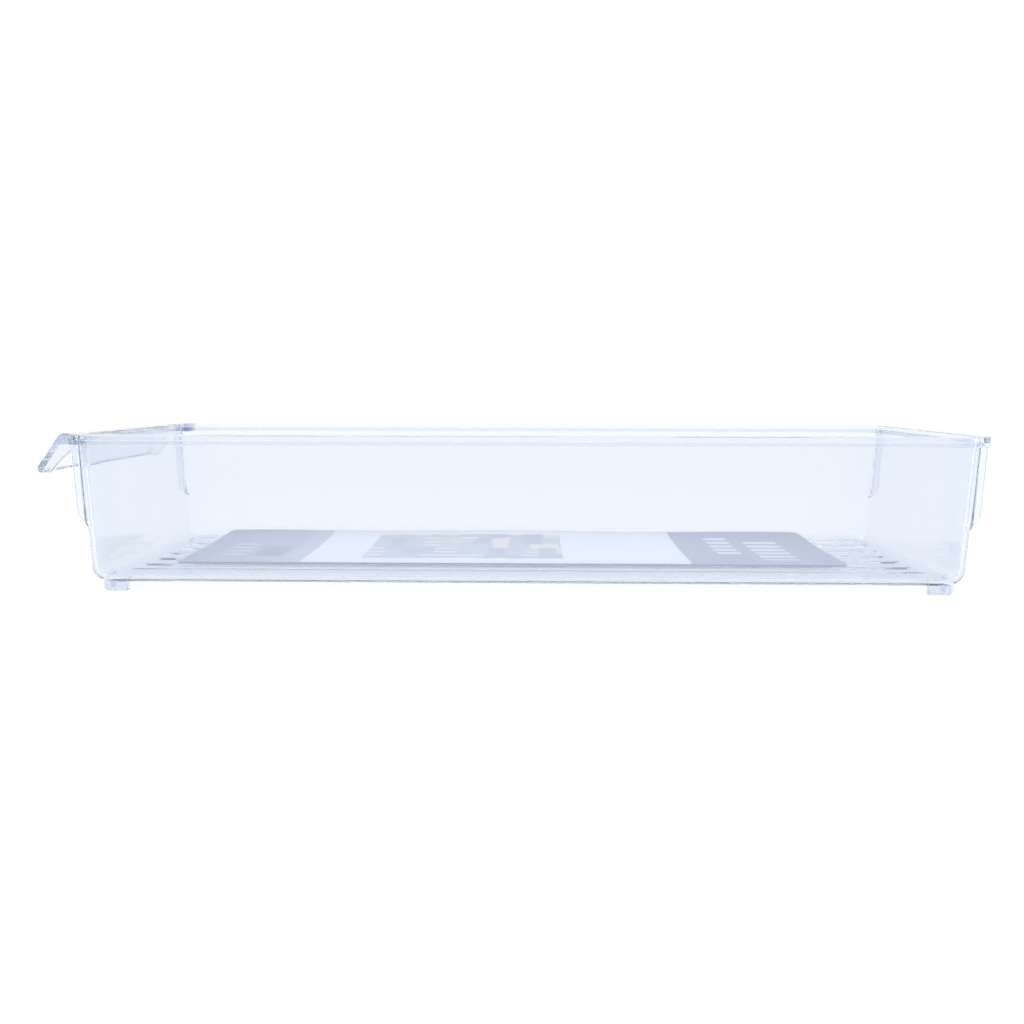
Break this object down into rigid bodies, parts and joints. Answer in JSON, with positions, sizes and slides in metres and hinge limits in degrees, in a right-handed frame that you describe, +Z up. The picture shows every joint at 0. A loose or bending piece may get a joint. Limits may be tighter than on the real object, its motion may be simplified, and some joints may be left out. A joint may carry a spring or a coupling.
{
  "type": "fridge organizer tray",
  "caption": "Shallow clear pull-out bin with drafted walls, a flanged rim, a down-turned pull lip, a ribbed floor and short corner feet, holding a loose printed card.",
  "frame": {"origin": "on the surface that the feet stand on, under the middle of the whole length and width", "axes": "+X along the tray, away from the pull lip; +Y across it; +Z up, out of the open mouth"},
  "size_m": [0.3712, 0.138, 0.062],
  "materials": {
    "clear_plastic": "clear polished",
    "printed_card": "printed, semi gloss"
  },
  "bodies": {
    "tray": {"tray": "clear_plastic"},
    "card": {"insert_card": "printed_card"}
  },
  "joints": [
    {"name": "card_lift", "type": "slide", "parent": "tray", "child": "card", "axis": [0, 0, 1], "range_m": [0, 0.08]}
  ]
}
